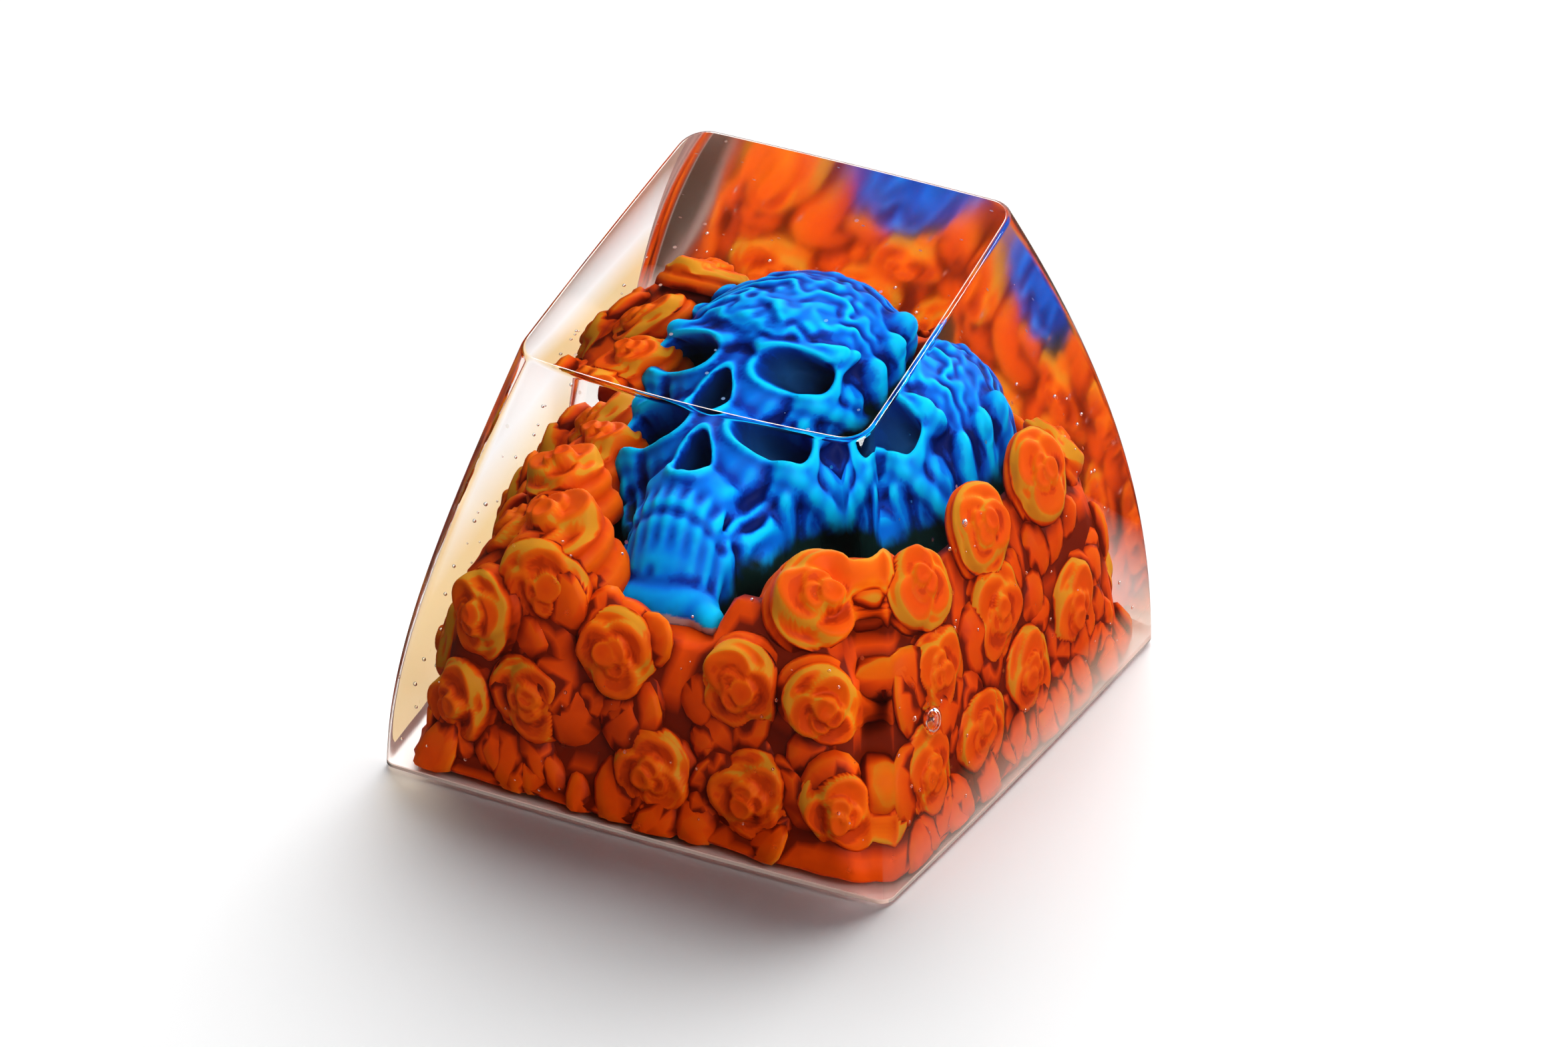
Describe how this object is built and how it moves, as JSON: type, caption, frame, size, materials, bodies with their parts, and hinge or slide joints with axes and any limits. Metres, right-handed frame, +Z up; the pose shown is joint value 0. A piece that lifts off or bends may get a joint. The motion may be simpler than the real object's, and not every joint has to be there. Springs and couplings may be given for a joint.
{
  "type": "artisan keycap",
  "caption": "Tall clear cast keycap with a tilted top, holding a painted skull that lies back on a bed of roses; a cross socket underneath fits a switch stem.",
  "frame": {"origin": "on the rim plane under the middle of the cap", "axes": "+Z up from the rim to the top, -Y towards the front wall, which is the low edge of the tilted top, +X to the right"},
  "size_m": [0.0184, 0.0185, 0.0165],
  "materials": {
    "clear_resin": "clear cast resin, polished",
    "blue_paint": "azure paint, dark in the hollows and light on the ridges",
    "orange_paint": "orange paint, red-brown in the folds and ochre on the petal rims"
  },
  "bodies": {
    "root": {"resin_body": "clear_resin", "skull": "blue_paint", "rose_bed": "orange_paint"}
  },
  "joints": []
}
